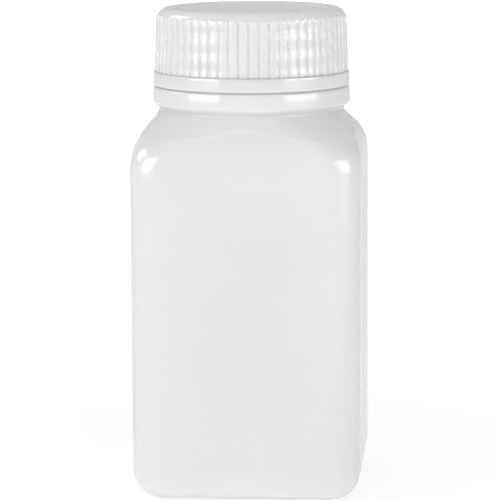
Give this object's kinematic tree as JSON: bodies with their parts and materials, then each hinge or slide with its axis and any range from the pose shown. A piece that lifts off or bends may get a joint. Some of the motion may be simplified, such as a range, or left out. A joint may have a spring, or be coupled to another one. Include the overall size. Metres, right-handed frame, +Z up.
{
  "type": "square media bottle",
  "caption": "Square wide-neck bottle in translucent plastic, with a round shoulder, a neck collar and a ribbed screw cap over a breakaway ring.",
  "frame": {"origin": "middle of the base, on the plane the bottle stands on", "axes": "+Z up along the neck, +X and +Y square to the side faces"},
  "size_m": [0.073, 0.073, 0.1556],
  "materials": {
    "bottle_plastic": "natural translucent polyethylene, satin",
    "cap_plastic": "natural translucent polyethylene, smooth",
    "liner_plastic": "soft white polyethylene"
  },
  "bodies": {
    "bottle": {"bottle": "bottle_plastic", "tamper_ring": "cap_plastic"},
    "liner": {"sealing_liner": "liner_plastic"},
    "cap": {"screw_cap": "cap_plastic"}
  },
  "joints": [
    {"name": "cap_lift", "type": "slide", "parent": "bottle", "child": "liner", "axis": [0, 0, 1], "range_m": [0, 0.0245]},
    {"name": "cap_turn", "type": "hinge", "parent": "liner", "child": "cap", "pos_m": [0, 0, 0.1516], "axis": [0, 0, 1], "range_deg": [0, 1440]}
  ],
  "couplings": [
    {"joint": "cap_lift", "follows": "cap_turn", "m_per_rad": 0.00095493}
  ]
}
